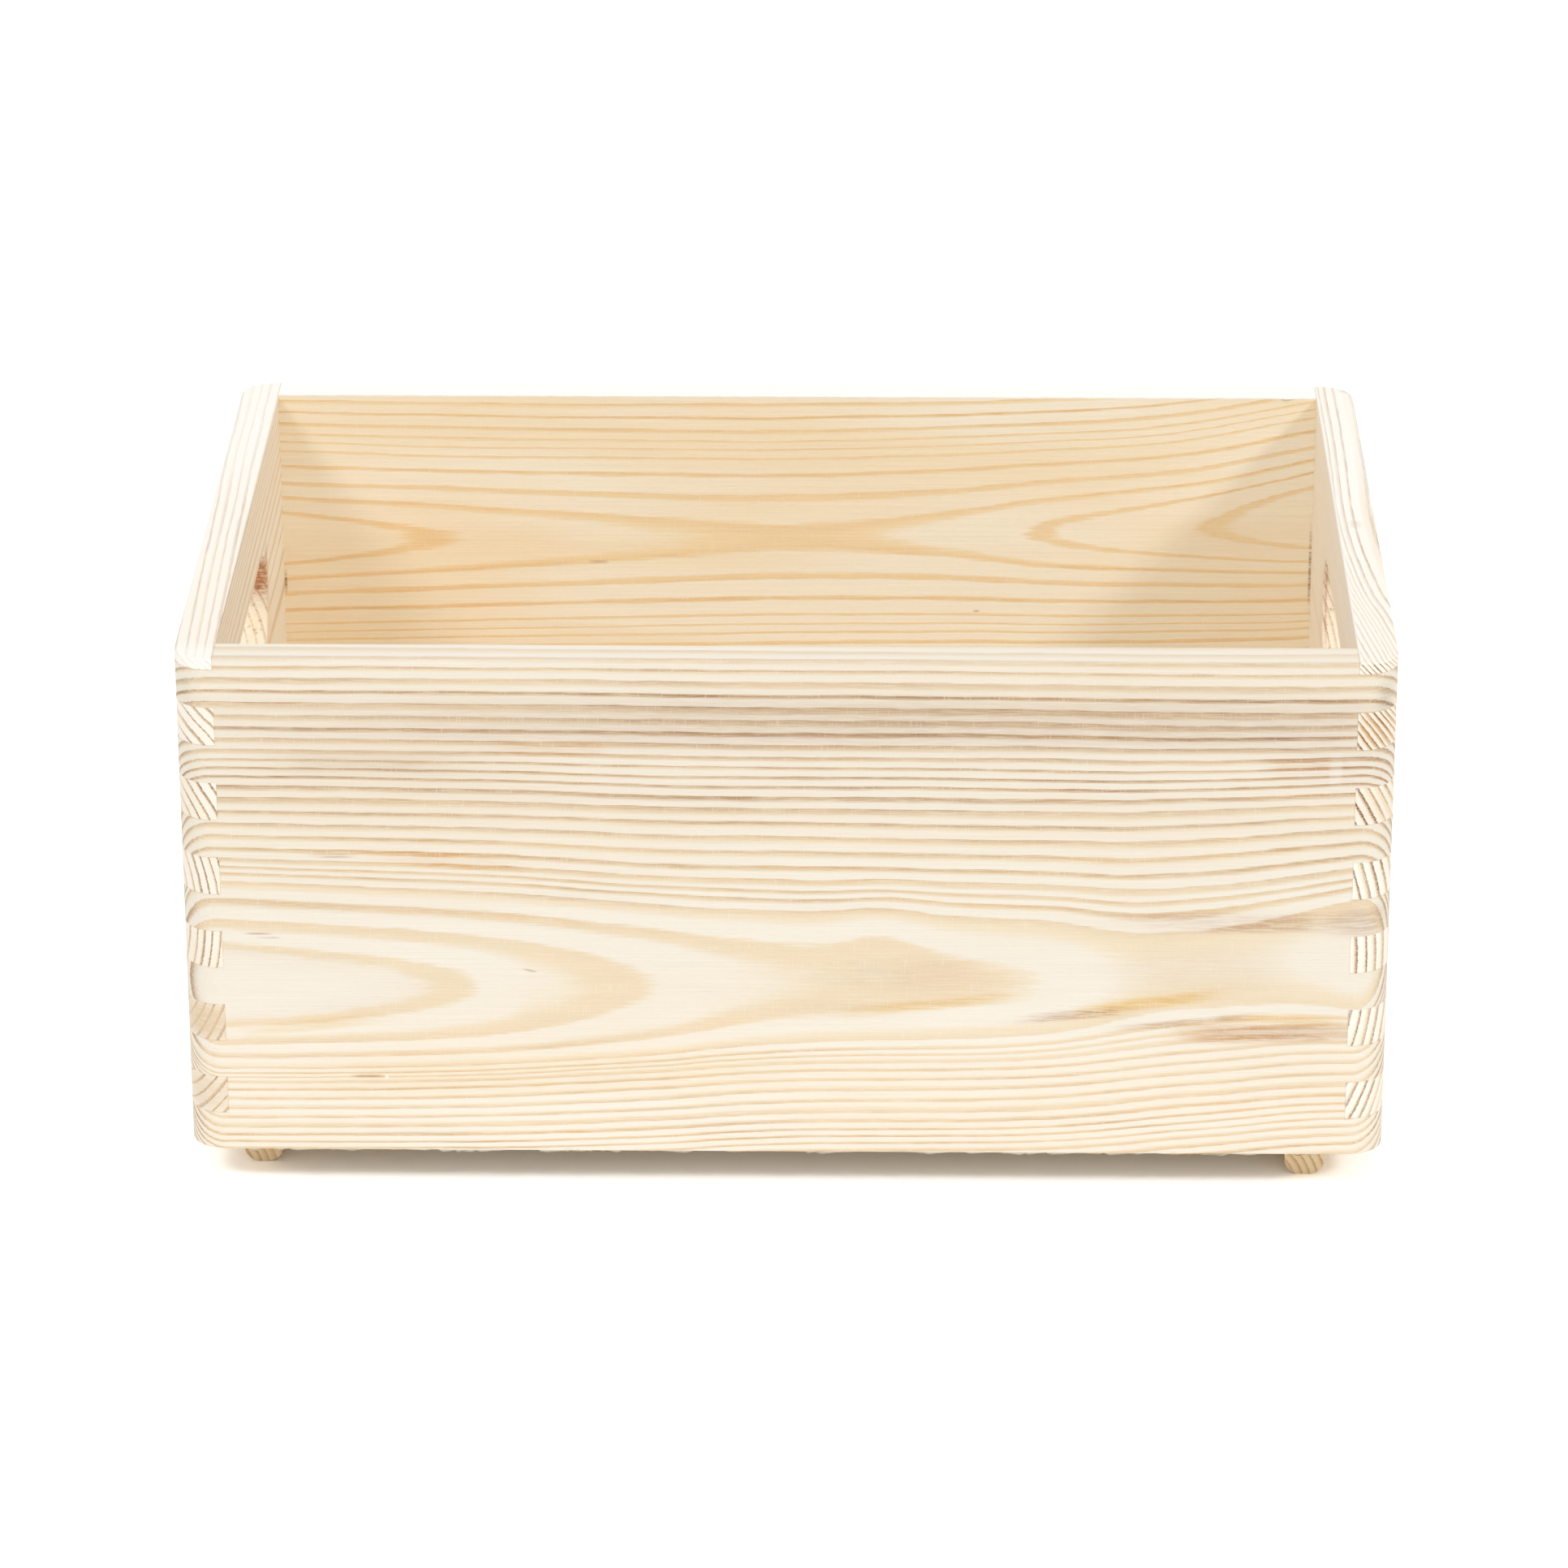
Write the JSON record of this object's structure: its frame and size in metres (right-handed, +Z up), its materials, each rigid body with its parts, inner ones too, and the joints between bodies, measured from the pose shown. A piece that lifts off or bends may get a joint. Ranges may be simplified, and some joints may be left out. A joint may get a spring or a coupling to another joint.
{
  "type": "apple crate",
  "caption": "Open-topped finger-jointed pine crate with a hand hole in each end wall, a captive plywood bottom and two stacking rails under it.",
  "frame": {"origin": "on the ground under the middle of the crate, at the rails' undersides", "axes": "+X along the crate's length towards the right end wall, +Y towards the rear wall, +Z up"},
  "size_m": [0.3, 0.2, 0.144],
  "materials": {
    "pine_board": "bare sanded pine, unvarnished",
    "plywood": "bare rotary-cut plywood",
    "pine_rail": "bare pine, sawn ends",
    "staple_wire": "galvanised wire"
  },
  "bodies": {
    "root": {"front_wall": "pine_board", "rear_wall": "pine_board", "left_end_wall": "pine_board", "right_end_wall": "pine_board", "bottom_panel": "plywood", "left_rail": "pine_rail", "right_rail": "pine_rail", "left_rail_staple_1": "staple_wire", "left_rail_staple_2": "staple_wire", "left_rail_staple_3": "staple_wire", "left_rail_staple_4": "staple_wire", "right_rail_staple_1": "staple_wire", "right_rail_staple_2": "staple_wire", "right_rail_staple_3": "staple_wire", "right_rail_staple_4": "staple_wire"}
  },
  "joints": []
}
